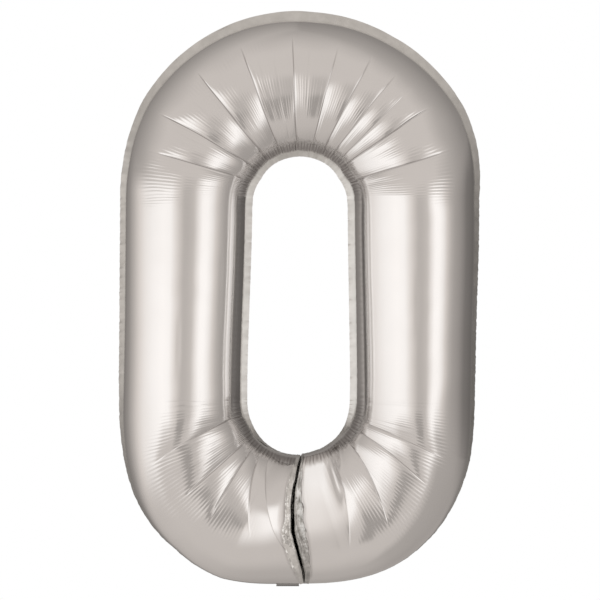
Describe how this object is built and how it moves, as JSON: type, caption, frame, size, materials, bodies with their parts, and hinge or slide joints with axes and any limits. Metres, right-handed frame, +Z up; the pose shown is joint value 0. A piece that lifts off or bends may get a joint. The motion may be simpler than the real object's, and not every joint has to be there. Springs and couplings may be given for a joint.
{
  "type": "foil number balloon",
  "caption": "Inflated foil balloon in the shape of the figure nought: two welded metallised films, a folded inflation tail with a one-way valve, and hang tabs.",
  "frame": {"origin": "crown of the welded outer margin, on the film's seam plane: the point that the balloon hangs from", "axes": "+Z up the figure, -Y towards the viewer of the figure's front, +X to that viewer's right"},
  "size_m": [0.5446, 0.183, 0.8627],
  "materials": {
    "silver_film": "mirror-bright vapour-metallised film, faintly warm",
    "silver_margin": "welded metallised film, slightly duller and puckered",
    "clear_film": "clear soft polyethylene film"
  },
  "bodies": {
    "chamber": {"front_panel": "silver_film", "back_panel": "silver_film", "outer_seam_margin": "silver_margin", "inner_seam_margin": "silver_margin", "end_margin_left": "silver_margin", "end_margin_right": "silver_margin", "valve_film_front": "clear_film", "valve_film_back": "clear_film"},
    "tail": {"tail_front_ply": "silver_film", "tail_back_ply": "silver_film", "valve_mouth_front": "clear_film", "valve_mouth_back": "clear_film"},
    "tab_left": {"hang_tab_left": "silver_margin"},
    "tab_right": {"hang_tab_right": "silver_margin"}
  },
  "joints": [
    {"name": "tail_fold", "type": "hinge", "parent": "chamber", "child": "tail", "pos_m": [-0.0185, 0, -0.86225], "axis": [1, 0, 0], "range_deg": [-165, 8]},
    {"name": "hang_tab_left_fold", "type": "hinge", "parent": "chamber", "child": "tab_left", "pos_m": [-0.11535, 0.00211, -0.02574], "axis": [0.91, 0, 0.4147], "range_deg": [-25, 180]},
    {"name": "hang_tab_right_fold", "type": "hinge", "parent": "chamber", "child": "tab_right", "pos_m": [0.13045, 0.00235, -0.03351], "axis": [0.8829, 0, -0.4695], "range_deg": [-25, 180]}
  ]
}
